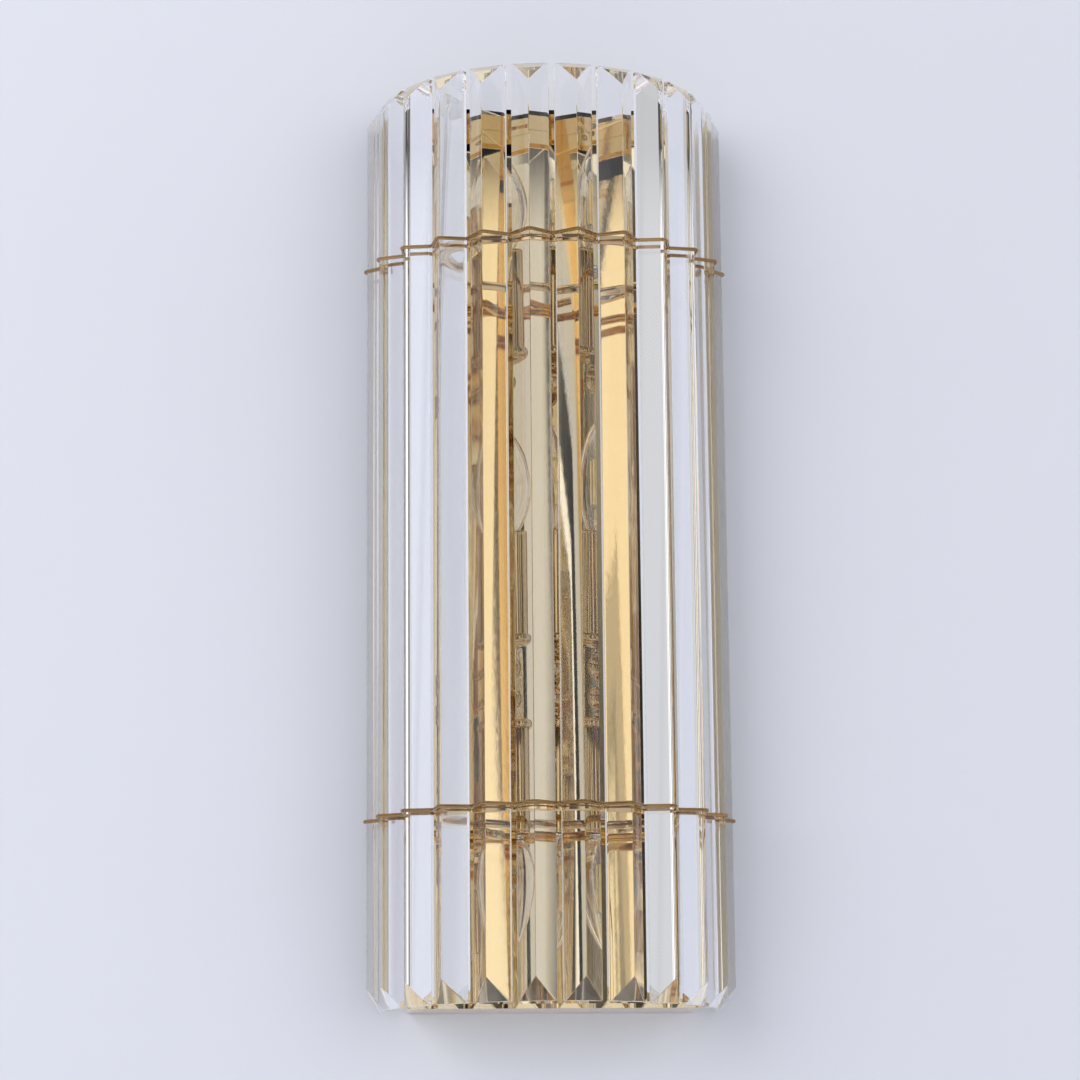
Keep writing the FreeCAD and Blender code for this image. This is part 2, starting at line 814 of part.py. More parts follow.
def save_lamps():
    lamps = (
        ("upper", upper_ball_height, False),
        ("middle", middle_ball_height, False),
        ("lower", lower_ball_height, True),
    )
    pieces = (
        ("arm", lamp_arm()), ("arm_ball", lamp_ball()), ("lamp_nipple", lamp_nipple()),
        ("candle_collar", lamp_collar()), ("candle_sleeve", lamp_sleeve()),
        ("lampholder", lamp_holder()), ("bulb_cap", bulb_cap()),
        ("bulb_glass", bulb_glass()), ("bulb_filament", bulb_filament()),
    )
    for lamp, height, points_down in lamps:
        for piece, shape in pieces:
            save(piece + "_" + lamp, place_lamp(shape, height, points_down))


def main():
    os.makedirs("parts", exist_ok=True)
    for number, angle in enumerate(bar_angles(), start=1):
        save("crystal_bar_%02d" % number, crystal_bar(angle))
    for level, height, chord_height in wire_levels():
        save("front_wire_" + level, front_wire(height))
        save("half_ring_" + level, half_ring(height, chord_height))
        save("chord_bar_" + level, chord_bar(chord_height))
    save("ring_screws", ring_screws())
    save("housing_band", housing_band())
    save("mirror_panel", mirror_panel())
    save("panel_screws", panel_screws())
    save("wall_bracket", wall_bracket())
    save("bracket_studs", bracket_studs())
    save("cap_nuts", cap_nuts())
    save("cable_grommet", cable_grommet())
    save("terminal_block", terminal_block())
    save("earth_screw", earth_screw())
    save("arm_nuts", Part.makeCompound([arm_nut(height) for height in ball_heights()]))
    save_lamps()


main()
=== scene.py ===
import math

import bmesh
import bpy
from mathutils import Matrix, Vector


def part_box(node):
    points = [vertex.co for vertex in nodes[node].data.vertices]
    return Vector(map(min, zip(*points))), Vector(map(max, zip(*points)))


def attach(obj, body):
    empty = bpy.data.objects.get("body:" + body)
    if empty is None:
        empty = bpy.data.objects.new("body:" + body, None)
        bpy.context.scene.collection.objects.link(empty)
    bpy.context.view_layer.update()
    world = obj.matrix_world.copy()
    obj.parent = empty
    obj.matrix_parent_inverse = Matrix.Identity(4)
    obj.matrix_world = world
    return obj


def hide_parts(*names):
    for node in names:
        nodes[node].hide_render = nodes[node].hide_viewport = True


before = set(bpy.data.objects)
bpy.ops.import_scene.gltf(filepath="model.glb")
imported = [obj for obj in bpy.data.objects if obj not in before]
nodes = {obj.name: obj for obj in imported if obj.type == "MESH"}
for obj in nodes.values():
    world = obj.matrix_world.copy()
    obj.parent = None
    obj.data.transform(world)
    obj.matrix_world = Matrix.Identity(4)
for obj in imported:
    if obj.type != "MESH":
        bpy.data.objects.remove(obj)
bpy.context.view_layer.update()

mm = 0.001
lampNames = ("upper", "middle", "lower")
wireLevels = ("upper", "lower")


def newMaterial(name):
    material = bpy.data.materials.new(name)
    material.use_nodes = True
    tree = material.node_tree
    tree.nodes.clear()
    output = tree.nodes.new("ShaderNodeOutputMaterial")
    shader = tree.nodes.new("ShaderNodeBsdfPrincipled")
    tree.links.new(shader.outputs["BSDF"], output.inputs["Surface"])
    return material, tree, shader


def objectCoordinates(tree, stretch=(1, 1, 1)):  # patterns stay put on the piece
    coordinates = tree.nodes.new("ShaderNodeTexCoord")
    mapping = tree.nodes.new("ShaderNodeMapping")
    mapping.inputs["Scale"].default_value = stretch
    tree.links.new(coordinates.outputs["Object"], mapping.inputs["Vector"])
    return mapping.outputs["Vector"]


def noise(tree, vector, scale, detail=3.0, roughness=0.5):
    texture = tree.nodes.new("ShaderNodeTexNoise")
    texture.inputs["Scale"].default_value = scale
    texture.inputs["Detail"].default_value = detail
    texture.inputs["Roughness"].default_value = roughness
    tree.links.new(vector, texture.inputs["Vector"])
    return texture.outputs["Fac"]


def colourRamp(tree, factor, low, high, lowAt=0.35, highAt=0.65):
    ramp = tree.nodes.new("ShaderNodeValToRGB")
    ramp.color_ramp.elements[0].position = lowAt
    ramp.color_ramp.elements[0].color = (*low, 1)
    ramp.color_ramp.elements[1].position = highAt
    ramp.color_ramp.elements[1].color = (*high, 1)
    tree.links.new(factor, ramp.inputs["Fac"])
    return ramp.outputs["Color"]


def valueRange(tree, factor, low, high):
    span = tree.nodes.new("ShaderNodeMapRange")
    span.inputs["From Min"].default_value = 0.3
    span.inputs["From Max"].default_value = 0.7
    span.inputs["To Min"].default_value = low
    span.inputs["To Max"].default_value = high
    tree.links.new(factor, span.inputs["Value"])
    return span.outputs["Result"]


def bump(tree, shader, height, distance, strength=1.0):
    node = tree.nodes.new("ShaderNodeBump")
    node.inputs["Distance"].default_value = distance
    node.inputs["Strength"].default_value = strength
    tree.links.new(height, node.inputs["Height"])
    tree.links.new(node.outputs["Normal"], shader.inputs["Normal"])


def setTone(tree, shader, look, cloud, fine):
    colour = colourRamp(tree, cloud, look["dark"], look["light"])
    tree.links.new(colour, shader.inputs["Base Color"])
    tree.links.new(valueRange(tree, fine, *look["roughness"]), shader.inputs["Roughness"])


def polishedMetal(name, look):  # plated, with a tone and polish that drift a little
    material, tree, shader = newMaterial(name)
    vector = objectCoordinates(tree, look.get("stretch", (1, 1, 1)))
    cloud = noise(tree, vector, look["cloudScale"])
    fine = noise(tree, vector, look["fineScale"], 6.0, 0.6)
    setTone(tree, shader, look, cloud, fine)
    shader.inputs["Metallic"].default_value = 1.0
    bump(tree, shader, fine, look["bumpDepth"])
    return material


def plainPlastic(name, look):
    material, tree, shader = newMaterial(name)
    vector = objectCoordinates(tree)
    cloud = noise(tree, vector, look["cloudScale"])
    fine = noise(tree, vector, look["fineScale"], 5.0, 0.6)
    setTone(tree, shader, look, cloud, fine)
    bump(tree, shader, fine, look["bumpDepth"])
    return material


def clearGlass(name, look):  # a faint cast that drifts along the piece
    material, tree, shader = newMaterial(name)
    vector = objectCoordinates(tree, look.get("stretch", (1, 1, 1)))
    cloud = noise(tree, vector, look["cloudScale"], 2.0)
    fine = noise(tree, vector, look["fineScale"], 5.0, 0.6)
    setTone(tree, shader, look, cloud, fine)
    shader.inputs["Transmission Weight"].default_value = 1.0
    shader.inputs["IOR"].default_value = look["ior"]
    return material


goldLook = {
    "dark": (0.66, 0.49, 0.25), "light": (0.78, 0.60, 0.34), "cloudScale": 9.0,
    "fineScale": 900.0, "roughness": (0.05, 0.11), "bumpDepth": 0.000004,
}
# painted shade: the lamp parts are the same brass as the frame, toned darker here to stand in for
# the dark surroundings they reflect
lampPaintedShadeLook = {
    "dark": (0.46, 0.33, 0.16), "light": (0.62, 0.46, 0.24), "cloudScale": 11.0,
    "fineScale": 900.0, "roughness": (0.04, 0.10), "bumpDepth": 0.000004,
}
# painted shade: the wires are the same brass as the frame, toned darker here to stand in for the
# dark reflections along them
wirePaintedShadeLook = {
    "dark": (0.28, 0.17, 0.075), "light": (0.42, 0.27, 0.13), "cloudScale": 14.0,
    "fineScale": 900.0, "roughness": (0.10, 0.18), "bumpDepth": 0.000004,
}
mirrorLook = {
    "dark": (0.90, 0.76, 0.50), "light": (0.94, 0.82, 0.58), "cloudScale": 5.0,
    "fineScale": 500.0, "roughness": (0.015, 0.05), "bumpDepth": 0.000003,
    "stretch": (1, 1, 0.3),
}
screwLook = {
    "dark": (0.50, 0.50, 0.53), "light": (0.66, 0.66, 0.68), "cloudScale": 60.0,
    "fineScale": 1500.0, "roughness": (0.10, 0.20), "bumpDepth": 0.000004,
}
zincLook = {
    "dark": (0.46, 0.47, 0.48), "light": (0.66, 0.66, 0.64), "cloudScale": 40.0,
    "fineScale": 700.0, "roughness": (0.28, 0.46), "bumpDepth": 0.00002,
}
capLook = {
    "dark": (0.55, 0.52, 0.45), "light": (0.70, 0.67, 0.58), "cloudScale": 80.0,
    "fineScale": 1200.0, "roughness": (0.16, 0.30), "bumpDepth": 0.00001,
}
crystalLook = {
    "dark": (0.955, 0.96, 0.985), "light": (0.985, 0.985, 1.0), "cloudScale": 6.0,
    "fineScale": 20.0, "roughness": (0.0, 0.002), "ior": 1.52, "stretch": (1, 1, 0.25),
}
bulbLook = {
    "dark": (0.97, 0.97, 0.97), "light": (1.0, 1.0, 1.0), "cloudScale": 30.0,
    "fineScale": 300.0, "roughness": (0.0, 0.01), "ior": 1.47,
}
holderLook = {
    "dark": (0.020, 0.020, 0.022), "light": (0.035, 0.034, 0.034), "cloudScale": 60.0,
    "fineScale": 1600.0, "roughness": (0.42, 0.60), "bumpDepth": 0.00002,
}
nylonLook = {
    "dark": (0.72, 0.71, 0.66), "light": (0.82, 0.81, 0.76), "cloudScale": 70.0,
    "fineScale": 1400.0, "roughness": (0.45, 0.60), "bumpDepth": 0.00002,
}
rubberLook = {
    "dark": (0.015, 0.015, 0.015), "light": (0.030, 0.030, 0.030), "cloudScale": 90.0,
    "fineScale": 1800.0, "roughness": (0.62, 0.82), "bumpDepth": 0.00003,
}
filamentLook = {
    "dark": (0.82, 0.55, 0.16), "light": (0.94, 0.70, 0.28), "cloudScale": 260.0,
    "fineScale": 2500.0, "roughness": (0.45, 0.65), "bumpDepth": 0.00002,
}

gold = polishedMetal("polishedGold", goldLook)
# darker copy of the frame's brass for the lamp parts: painted shade
lampGoldPaintedShade = polishedMetal("lampGoldPaintedShade", lampPaintedShadeLook)
# darker copy of the frame's brass for the front wires: painted shade
wireGoldPaintedShade = polishedMetal("wireGoldPaintedShade", wirePaintedShadeLook)
mirrorGold = polishedMetal("mirrorGold", mirrorLook)
screwMetal = polishedMetal("screwNickel", screwLook)
zinc = polishedMetal("zincPlate", zincLook)
capMetal = polishedMetal("bulbCapNickel", capLook)
crystal = clearGlass("crystalGlass", crystalLook)
bulbGlass = clearGlass("bulbGlassClear", bulbLook)
holderPlastic = plainPlastic("holderBlack", holderLook)
nylon = plainPlastic("nylonIvory", nylonLook)
rubber = plainPlastic("rubberBlack", rubberLook)
phosphor = plainPlastic("filamentPhosphor", filamentLook)
print("materials made")


def dress(names, material):
    for name in names:
        node = nodes[name]
        for slot in node.material_slots:
            slot.material = material


# Pieces are made in millimetres and saved in metres.
def finishPiece(shape, name, material, body, replaced, slot, smoothAngle=35):
    bmesh.ops.remove_doubles(shape, verts=shape.verts, dist=0.0005)
    bmesh.ops.recalc_face_normals(shape, faces=shape.faces)
    bmesh.ops.scale(shape, vec=(mm, mm, mm), verts=shape.verts)
    for edge in shape.edges:
        if len(edge.link_faces) == 2:
            edge.smooth = edge.calc_face_angle(0) < math.radians(smoothAngle)
    for face in shape.faces:
        face.smooth = True
    mesh = bpy.data.meshes.new(name)
    shape.to_mesh(mesh)
    shape.free()
    piece = bpy.data.objects.new(name, mesh)
    mesh.materials.append(material)
    bpy.context.scene.collection.objects.link(piece)
    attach(piece, body)
    if replaced:
        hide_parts(*replaced)
    if material in (crystal, bulbGlass):
        piece.visible_shadow = False  # clear glass lets the lamps through to what is behind
    return piece


def place(shape, origin, direction, verts=None):
    turn = Vector((0, 0, 1)).rotation_difference(Vector(direction)).to_matrix().to_4x4()
    matrix = Matrix.Translation(Vector(origin)) @ turn
    bmesh.ops.transform(shape, matrix=matrix, verts=verts or shape.verts)


def spunOutline(shape, outline, steps, looped=True):  # radius and height, spun round Z
    points = [shape.verts.new((radius, 0, height)) for radius, height in outline]
    edges = [shape.edges.new(pair) for pair in zip(points, points[1:])]
    if looped:
        edges.append(shape.edges.new((points[-1], points[0])))
    bmesh.ops.spin(
        shape, geom=points + edges, cent=(0, 0, 0), axis=(0, 0, 1), angle=2 * math.pi,
        steps=steps, use_merge=True)
    bmesh.ops.remove_doubles(shape, verts=shape.verts, dist=0.0005)


# A corner with a third value is rounded by that radius instead.
def roundedOutline(outline, radius, steps=3, looped=True):
    rounded = []
    count = len(outline)
    for spot, corner in enumerate(outline):
        point = Vector(corner[:2])
        amount = corner[2] if len(corner) > 2 else radius
        if amount == 0 or (not looped and spot in (0, count - 1)):
            rounded.append(tuple(point))
            continue
        before = Vector(outline[spot - 1][:2]) - point
        after = Vector(outline[(spot + 1) % count][:2]) - point
        half = before.angle(after) / 2
        reach = min(amount / math.tan(half), 0.49 * before.length, 0.49 * after.length)
        amount = reach * math.tan(half)
        middle = point + (before.normalized() + after.normalized()).normalized() * (
            amount / math.sin(half))
        start = point + before.normalized() * reach - middle
        end = point + after.normalized() * reach - middle
        sweep = start.angle_signed(end)
        for step in range(steps + 1):
            turn = Matrix.Rotation(-sweep * step / steps, 2)
            rounded.append(tuple(middle + turn @ start))
    return rounded


def turnedPiece(name, outline, origin, direction, steps, looped=True, **finish):
    shape = bmesh.new()
    spunOutline(shape, outline, steps, looped)
    place(shape, origin, direction)
    return finishPiece(shape, name, **finish)


def addTurned(shape, outline, origin, direction, steps, looped=True):
    earlier = set(shape.verts)
    spunOutline(shape, outline, steps, looped)
    place(shape, origin, direction, [vert for vert in shape.verts if vert not in earlier])


def heightOf(node):
    low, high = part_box(node)
    return (low[2] + high[2]) / 2 / mm


crystalValues = {
    "count": 12, "pitch": 15.0, "edgeRadius": 120.0, "width": 24.5, "roofDepth": 11.7,
    "sideDepth": 2.5, "endSlopeHeight": 14.5, "endSlopeDepth": 10.5, "bevel": 0.32,
    "bevelSteps": 2,
}


def crystalBars():  # a section pulled up, both ends cut to a slope, all edges softened
    low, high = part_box("crystal_bar_01")
    bottom, top = low[2] / mm, high[2] / mm
    values = crystalValues
    front = -values["edgeRadius"]
    shoulder = front + values["roofDepth"]
    back = shoulder + values["sideDepth"]
    half = values["width"] / 2
    slope = Vector((0, values["endSlopeHeight"], -values["endSlopeDepth"]))
    for number in range(values["count"]):
        shape = bmesh.new()
        section = [
            shape.verts.new((x, y, bottom)) for x, y in
            ((0, front), (half, shoulder), (half, back), (-half, back), (-half, shoulder))]
        face = shape.faces.new(section)
        pulled = bmesh.ops.extrude_face_region(shape, geom=[face])
        raised = [part for part in pulled["geom"] if isinstance(part, bmesh.types.BMVert)]
        bmesh.ops.translate(shape, vec=(0, 0, top - bottom), verts=raised)
        for end, side in ((bottom, -1), (top, 1)):
            toe = (0, front + values["endSlopeDepth"], end)
            normal = Vector((0, -values["endSlopeHeight"], side * values["endSlopeDepth"]))
            cut = bmesh.ops.bisect_plane(
                shape, geom=shape.verts[:] + shape.edges[:] + shape.faces[:],
                plane_co=toe, plane_no=normal, clear_outer=True)
            rim = [part for part in cut["geom_cut"] if isinstance(part, bmesh.types.BMEdge)]
            bmesh.ops.contextual_create(shape, geom=rim)
        bmesh.ops.bevel(
            shape, geom=shape.edges, offset=values["bevel"], affect="EDGES",
            segments=values["bevelSteps"], profile=0.5, material=-1)
        angle = (number - (values["count"] - 1) / 2) * values["pitch"]
        bmesh.ops.rotate(
            shape, cent=(0, 0, 0), matrix=Matrix.Rotation(math.radians(angle), 3, "Z"),
            verts=shape.verts)
        node = "crystal_bar_%02d" % (number + 1)
        finishPiece(
            shape, "crystalBar%02d" % (number + 1), crystal, "body", [node], "crystal", 12)


crystalBars()
print("crystal bars cut")

wireValues = {
    "thickness": 2.4, "bend": 2.9, "gap": 0.25, "endRun": 7.0,
    "ringSteps": 6, "around": 16,
}


def polarPoint(angle, radius):
    turn = math.radians(angle)
    return Vector((radius * math.sin(turn), -radius * math.cos(turn), 0))


def wireCorners():  # over each bar's front edge and into each gap, a gap away from the bars
    values = crystalValues
    pitch = values["pitch"]
    offset = wireValues["thickness"] / 2 + wireValues["gap"]
    half = values["width"] / 2
    roofAngle = math.atan2(half, values["roofDepth"])
    peak = values["edgeRadius"] + offset / math.sin(roofAngle)
    fall = math.radians(90 - pitch / 2) - roofAngle
    turn = math.radians(pitch / 2)
    base = values["edgeRadius"] - values["roofDepth"]
    aside = base * math.sin(turn) - half * math.cos(turn)
    out = base * math.cos(turn) + half * math.sin(turn)
    dip = out - aside * math.tan(fall) + offset / math.cos(fall)
    angles = [(step - (values["count"] - 1) / 2) * pitch for step in range(values["count"])]
    corners = []
    for angle in angles:
        if corners:
            corners.append(polarPoint(angle - pitch / 2, dip))
        corners.append(polarPoint(angle, peak))
    for angle, spot in ((angles[0], 0), (angles[-1], len(corners) + 1)):
        side = math.copysign(1, angle)
        inward = polarPoint(angle - side * math.degrees(roofAngle), -wireValues["endRun"])
        corners.insert(spot, polarPoint(angle, peak) + inward)
    return corners


def frontWire(level):  # a bevelled path with rounded corners, made a mesh
    height = heightOf("front_wire_" + level)
    corners = wireCorners()
    curve = bpy.data.curves.new("wirePath", "CURVE")
    curve.dimensions = "3D"
    curve.resolution_u = wireValues["ringSteps"]
    curve.bevel_depth = wireValues["thickness"] / 2
    curve.bevel_resolution = wireValues["around"] // 4 - 1
    curve.use_fill_caps = True
    spline = curve.splines.new("BEZIER")
    knots = [(corners[0], None, None)]
    for before, corner, after in zip(corners, corners[1:], corners[2:]):
        back, ahead = (before - corner).normalized(), (after - corner).normalized()
        half = back.angle(ahead) / 2
        reach = wireValues["bend"] / math.tan(half)
        pull = 4 / 3 * math.tan((math.pi / 2 - half) / 2) * wireValues["bend"]
        first, last = corner + back * reach, corner + ahead * reach
        knots += [(first, back * pull, -back * pull), (last, -ahead * pull, ahead * pull)]
    knots.append((corners[-1], None, None))
    spline.bezier_points.add(len(knots) - 1)
    for spot, (point, backHandle, aheadHandle) in zip(spline.bezier_points, knots):
        spot.handle_left_type = spot.handle_right_type = "FREE"
        spot.co = point
        spot.handle_left = point + (backHandle or Vector((0, 0, 0)))
        spot.handle_right = point + (aheadHandle or Vector((0, 0, 0)))
    holder = bpy.data.objects.new("wirePath", curve)
    shape = bmesh.new()
    mesh = bpy.data.meshes.new_from_object(holder)
    shape.from_mesh(mesh)
    bpy.data.meshes.remove(mesh)
    bpy.data.objects.remove(holder)
    bpy.data.curves.remove(curve)
    bmesh.ops.translate(shape, vec=(0, 0, height), verts=shape.verts)
    # the wires take the darker brass, which is painted shade
    return finishPiece(
        shape, "frontWire" + level.capitalize(), wireGoldPaintedShade, "body", ["front_wire_" + level],
        "gold_wire", 60)


for wireLevel in wireLevels:
    frontWire(wireLevel)
print("front wires bent")

# Heights along a lamp are from its ball's centre, towards the bulb.
lampValues = {"distance": 54.0, "steps": 64}


def lampPlace(lamp):
    centre = Vector((0, -lampValues["distance"], heightOf("arm_" + lamp)))
    up = (0, 0, -1) if lamp == "lower" else (0, 0, 1)
    return centre, up


def lampPiece(name, node, lamp, outline, steps, looped=True, direction=None, **finish):
    centre, up = lampPlace(lamp)
    # lamp parts take the darker brass, which is painted shade
    settings = {"material": lampGoldPaintedShade, "body": "body", "slot": "gold_lamp"}
    settings.update(finish)
    return turnedPiece(
        name + lamp.capitalize(), outline, centre, direction or up, steps, looped,
        replaced=[node + lamp], **settings)


armValues = {
    "radius": 3.2, "bore": 2.0, "start": 4.33, "end": 49.4, "panelDistance": 10.0,
    "flangeRadius": 8.0, "flangeTaper": 0.6, "flangeThickness": 2.5, "threadRadius": 4.0,
    "footRound": 1.2, "flangeRound": 1.4, "edge": 0.25, "steps": 40,
}


def lampArm(lamp):
    values = armValues
    radius, bore, flange = values["radius"], values["bore"], values["flangeRadius"]
    seat = lampValues["distance"] - values["panelDistance"]
    foot = seat - values["flangeThickness"]
    outline = roundedOutline([
        (bore, values["start"]), (radius, values["start"]), (radius, foot, values["footRound"]),
        (flange - values["flangeTaper"], foot, values["flangeRound"]), (flange, seat, 0),
        (values["threadRadius"], seat, 0), (values["threadRadius"], values["end"]),
        (bore, values["end"])], values["edge"])
    lampPiece("arm", "arm_", lamp, outline, values["steps"], direction=(0, 1, 0))


ballValues = {
    "radius": 8.0, "rings": 24, "flat": 1.1, "lipRadius": 4.6, "lipFoot": 0.9, "lipTop": 0.1,
    "boreRadius": 3.25, "boreFloor": 4.33, "edge": 0.2,
}


def armBall(lamp):
    values = ballValues
    radius, lip, bore = values["radius"], values["lipRadius"], values["boreRadius"]
    outline = [(0, -radius)]
    for step in range(1, values["rings"]):
        rise = math.pi * (step / values["rings"] - 0.5)
        outline.append((radius * math.cos(rise), radius * math.sin(rise)))
    outline = [point for point in outline if point[1] < radius - values["flat"]]
    outline += roundedOutline([
        (lip, radius - values["lipFoot"]), (lip, radius - values["lipTop"]),
        (bore, radius - values["lipTop"]), (bore, values["boreFloor"]),
        (0, values["boreFloor"])], values["edge"], looped=False)
    lampPiece("armBall", "arm_ball_", lamp, outline, lampValues["steps"], looped=False)


nippleValues = {
    "radius": 3.2, "bore": 2.0, "start": 4.33, "end": 21.0, "beadRadius": 4.7,
    "beadHeights": (9.2, 9.8, 12.0, 12.6), "beadRound": 0.6, "beadFoot": 0.3, "edge": 0.2,
    "steps": 40,
}


def lampNipple(lamp):
    values = nippleValues
    radius, bore, bead = values["radius"], values["bore"], values["beadRadius"]
    foot, low, high, top = values["beadHeights"]
    outline = roundedOutline([
        (bore, values["start"]), (radius, values["start"]), (radius, foot, values["beadFoot"]),
        (bead, low, values["beadRound"]), (bead, high, values["beadRound"]),
        (radius, top, values["beadFoot"]), (radius, values["end"]), (bore, values["end"])],
        values["edge"])
    lampPiece("lampNipple", "lamp_nipple_", lamp, outline, values["steps"])


collarValues = {
    "base": 14.0, "floor": 16.0, "rim": 20.0, "radius": 16.0, "boreRadius": 3.25,
    "socketRadius": 13.65, "footRadius": 8.5, "panStart": 9.6, "panWidth": 2.2, "panRise": 0.7,
    "panRound": 1.5, "wallFoot": 0.3, "wallRound": 1.4, "bandDrop": 1.4, "rimDrop": 1.1,
    "rimStep": 0.5, "edge": 0.3,
}


def candleCollar(lamp):
    values = collarValues
    base, floor, rim = values["base"], values["floor"], values["rim"]
    bore, socket, radius = values["boreRadius"], values["socketRadius"], values["radius"]
    pan, top = base + values["panRise"], radius - values["rimStep"]
    outline = roundedOutline([
        (bore, base), (values["footRadius"], base), (values["panStart"], pan),
        (radius - values["panWidth"], pan, values["panRound"]),
        (radius, floor + values["wallFoot"], values["wallRound"]),
        (radius, rim - values["bandDrop"]), (top, rim - values["rimDrop"]), (top, rim),
        (socket, rim), (socket, floor), (bore, floor)], values["edge"])
    lampPiece("candleCollar", "candle_collar_", lamp, outline, lampValues["steps"])


sleeveValues = {
    "radius": 13.5, "wall": 1.0, "start": 16.0, "end": 88.0, "grooveDepth": 0.25,
    "grooveDrops": (2.6, 2.2, 1.8, 1.4), "lipRound": 0.45, "edge": 0.15,
}


def candleSleeve(lamp):
    values = sleeveValues
    radius, start, end = values["radius"], values["start"], values["end"]
    inner, neck = radius - values["wall"], radius - values["grooveDepth"]
    outline = [(inner, start), (radius, start)]
    outline += [(side, end - drop) for side, drop in zip(
        (radius, neck, neck, radius), values["grooveDrops"])]
    outline += [(radius, end, values["lipRound"]), (inner, end, values["lipRound"])]
    outline = roundedOutline(outline, values["edge"])
    lampPiece("candleSleeve", "candle_sleeve_", lamp, outline, lampValues["steps"])


holderValues = {
    "radius": 11.8, "stemRadius": 6.5, "start": 16.0, "cupBase": 55.0, "end": 86.0,
    "bore": 7.02, "boreFloor": 61.0, "wireBore": 2.0, "nippleBore": 3.3, "nippleFloor": 21.0,
    "stemRound": 1.5, "cupRound": 2.0, "rimRound": 0.8, "edge": 0.3,
}


def lampHolder(lamp):
    values = holderValues
    start, base, end = values["start"], values["cupBase"], values["end"]
    bore, wireBore, nippleBore = values["bore"], values["wireBore"], values["nippleBore"]
    outline = roundedOutline([
        (nippleBore, start), (values["stemRadius"], start),
        (values["stemRadius"], base, values["stemRound"]),
        (values["radius"], base, values["cupRound"]), (values["radius"], end, values["rimRound"]),
        (bore, end, values["rimRound"]), (bore, values["boreFloor"]),
        (wireBore, values["boreFloor"]), (wireBore, values["nippleFloor"]),
        (nippleBore, values["nippleFloor"])], values["edge"])
    lampPiece("lampholder", "lampholder_", lamp, outline, lampValues["steps"],
              material=holderPlastic, slot="holder_plastic")


capValues = {
    "radius": 6.95, "bottom": 66.5, "top": 88.0, "insulatorHeight": 2.5, "insulatorInset": 0.8,
    "contactRadius": 2.5, "contactHeight": 1.2, "edge": 0.4, "threadDepth": 0.55,
    "threadPitch": 2.82, "threadStart": 0.4, "threadDrop": 6.0, "crestInset": 0.12,
    "neckInset": 0.5, "bandInset": 0.3, "bandDrops": (1.2, 0.8), "steps": 48,
}


def bulbCap(lamp):
    values = capValues
    radius, bottom, top = values["radius"], values["bottom"], values["top"]
    cone = bottom - values["insulatorHeight"]
    tip = cone - values["contactHeight"]
    outline = roundedOutline([
        (0, tip, 0), (values["contactRadius"], tip), (values["contactRadius"], cone),
        (radius - values["insulatorInset"], bottom)], values["edge"], looped=False)
    level = bottom + values["threadStart"]
    while level < top - values["threadDrop"]:
        for inset, share in ((values["threadDepth"], 0), (values["crestInset"], 0.3), (0, 0.5),
                             (values["crestInset"], 0.7)):
            outline.append((radius - inset, level + share * values["threadPitch"]))
        level += values["threadPitch"]
    low, high = values["bandDrops"]
    outline += [(radius - values["neckInset"], level), (radius - values["bandInset"], top - low),
                (radius, top - high), (radius, top), (0, top)]
    lampPiece("bulbCap", "bulb_cap_", lamp, outline, values["steps"], looped=False,
              material=capMetal, body="bulb_" + lamp, slot="bulb_cap")


bulbValues = {
    "base": 88.0, "neckRadius": 7.3, "bellyRadius": 17.3, "bellyHeight": 27.0, "length": 76.0,
    "wall": 0.7, "rings": 22, "ringSpread": 1.1, "taper": 1.7, "tipShape": 0.9,
}


def bulbOutline(shrink):
    values = bulbValues
    neck, belly, widest = values["neckRadius"], values["bellyRadius"], values["bellyHeight"]
    outline = []
    for step in range(values["rings"]):
        height = values["length"] * (step / values["rings"]) ** values["ringSpread"]
        if height < widest:
            radius = neck + (belly - neck) * math.sin(math.pi / 2 * height / widest)
        else:
            fall = (height - widest) / (values["length"] - widest)
            radius = belly * (1 - fall ** values["taper"]) ** values["tipShape"]
        outline.append((radius - shrink, values["base"] + max(height, 1.5 * shrink)))
    outline.append((0, values["base"] + values["length"] - 2 * shrink))
    return outline


def bulbShell(lamp):
    shape = bmesh.new()
    for shrink in (0, bulbValues["wall"]):
        spunOutline(shape, bulbOutline(shrink), lampValues["steps"], False)
    rims = [edge for edge in shape.edges if edge.is_boundary]
    bmesh.ops.bridge_loops(shape, edges=rims)
    place(shape, *lampPlace(lamp))
    finishPiece(shape, "bulbGlass" + lamp.capitalize(), bulbGlass, "bulb_" + lamp,
                ["bulb_glass_" + lamp], "bulb_glass")


filamentValues = {
    "stemRadius": 2.4, "stemFoot": 89.2, "stemEnd": 107.2, "stemFlare": 1.6, "flareHeight": 4.0,
    "flareRound": 3.0, "stemTaper": 0.6, "tipHeight": 2.0, "tipRound": 1.0, "stemEdge": 0.5,
    "stemSteps": 32, "rodRadius": 0.7, "rodCircle": 4.0, "rodLength": 30.0, "rodCount": 4,
    "rodEdge": 0.3, "rodSteps": 14,
}
hubValues = {"drop": 0.4, "rimWidth": 0.7, "thickness": 0.5, "edge": 0.15, "steps": 32}


def bulbStem(lamp):
    values = filamentValues
    radius, foot, end = values["stemRadius"], values["stemFoot"], values["stemEnd"]
    outline = roundedOutline([
        (0, foot, 0), (radius + values["stemFlare"], foot),
        (radius, foot + values["flareHeight"], values["flareRound"]),
        (radius - values["stemTaper"], end - values["tipHeight"], values["tipRound"]),
        (0, end, 0)], values["stemEdge"], looped=False)
    lampPiece("bulbStem", "bulb_filament_", lamp, outline, values["stemSteps"], looped=False,
              material=bulbGlass, body="bulb_" + lamp, slot="bulb_glass")


